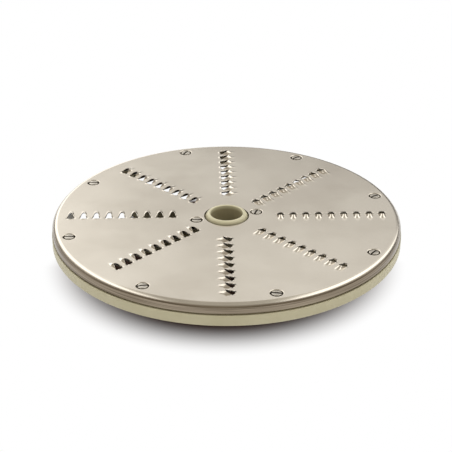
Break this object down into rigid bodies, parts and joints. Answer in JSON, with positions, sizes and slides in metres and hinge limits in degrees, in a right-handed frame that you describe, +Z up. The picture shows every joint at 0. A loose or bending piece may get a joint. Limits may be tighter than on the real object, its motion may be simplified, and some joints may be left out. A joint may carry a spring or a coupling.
{
  "type": "food processor disc",
  "caption": "Round shredding disc: a pressed steel plate with rows of raised scoop teeth, screwed to a plastic carrier with spokes and a bored hub.",
  "frame": {"origin": "on the bore's axis at the hub's lower face", "axes": "+Z up along the bore, out of the cutting face; +X along one row of teeth"},
  "size_m": [0.205, 0.205, 0.0304],
  "materials": {
    "stainless_sheet": "satin rolled stainless sheet, pressed",
    "cream_plastic": "moulded cream plastic, slightly glossy",
    "screw_steel": "turned steel heads with sawn slots"
  },
  "bodies": {
    "root": {"shredding_plate": "stainless_sheet", "carrier": "cream_plastic", "screws": "screw_steel"}
  },
  "joints": []
}
